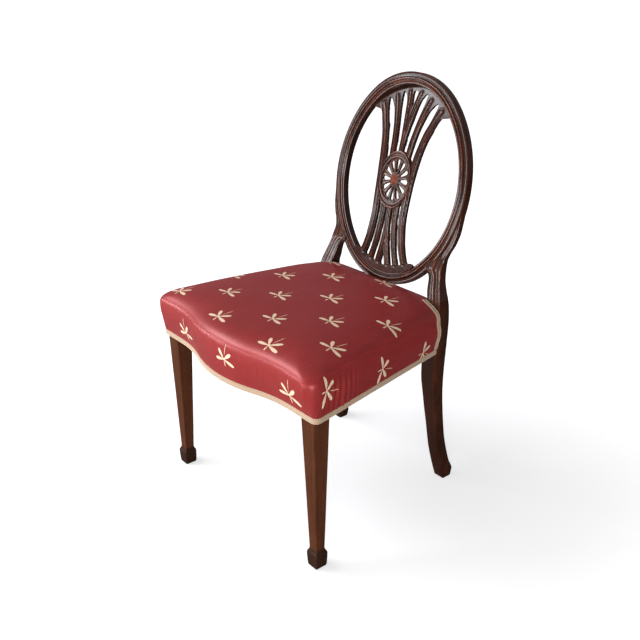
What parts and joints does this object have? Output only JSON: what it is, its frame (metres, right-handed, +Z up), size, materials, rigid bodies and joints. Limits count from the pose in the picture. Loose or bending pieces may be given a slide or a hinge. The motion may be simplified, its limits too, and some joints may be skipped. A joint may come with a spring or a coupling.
{
  "type": "oval back side chair",
  "caption": "Mahogany side chair with a moulded oval back, a pierced fan splat and rosette, a stuffed bow-front silk seat, tapered front legs on spade feet and raked back legs.",
  "frame": {"origin": "on the floor under the middle of the bounding box", "axes": "+Z up, the seat front faces -Y, +X to the right as seen from the front"},
  "size_m": [0.6026, 0.6069, 0.9656],
  "materials": {
    "mahogany": "dark red-brown polished mahogany, worn lighter on the edges",
    "satinwood": "orange satinwood, polished",
    "frame_wood": "plain sawn beech, hidden under the upholstery",
    "screw_steel": "plain steel wood screws",
    "tack_steel": "blued cut tacks",
    "webbing": "woven linen webbing",
    "hessian": "plain woven hessian",
    "dust_cloth": "black cotton dust cloth",
    "stuffing": "curled hair stuffing",
    "calico": "unbleached calico",
    "wadding": "cotton wadding",
    "silk": "crimson silk with small scattered cream sprigs",
    "braid": "cream woven gimp braid"
  },
  "bodies": {
    "root": {"back_braid": "braid", "calico_cover": "calico", "corner_block_screws": "screw_steel", "crest_rail": "mahogany", "cross_web_1": "webbing", "cross_web_2": "webbing", "cross_web_3": "webbing", "dust_cover": "dust_cloth", "dust_cover_tacks": "tack_steel", "front_and_side_braid": "braid", "front_corner_block_left": "frame_wood", "front_corner_block_right": "frame_wood", "front_leg_left": "mahogany", "front_leg_right": "mahogany", "front_seat_rail": "frame_wood", "hair_stuffing": "stuffing", "hessian": "hessian", "hessian_tacks": "tack_steel", "long_web_1": "webbing", "long_web_2": "webbing", "long_web_3": "webbing", "long_web_4": "webbing", "lower_back_rail": "mahogany", "post_braid_left": "braid", "post_braid_right": "braid", "rear_corner_block_left": "frame_wood", "rear_corner_block_right": "frame_wood", "rear_post_left": "mahogany", "rear_post_right": "mahogany", "rear_seat_rail": "frame_wood", "rosette_boss": "satinwood", "seat_cover": "silk", "side_seat_rail_left": "frame_wood", "side_seat_rail_right": "frame_wood", "splat": "mahogany", "wadding": "wadding", "webbing_tacks": "tack_steel"}
  },
  "joints": []
}
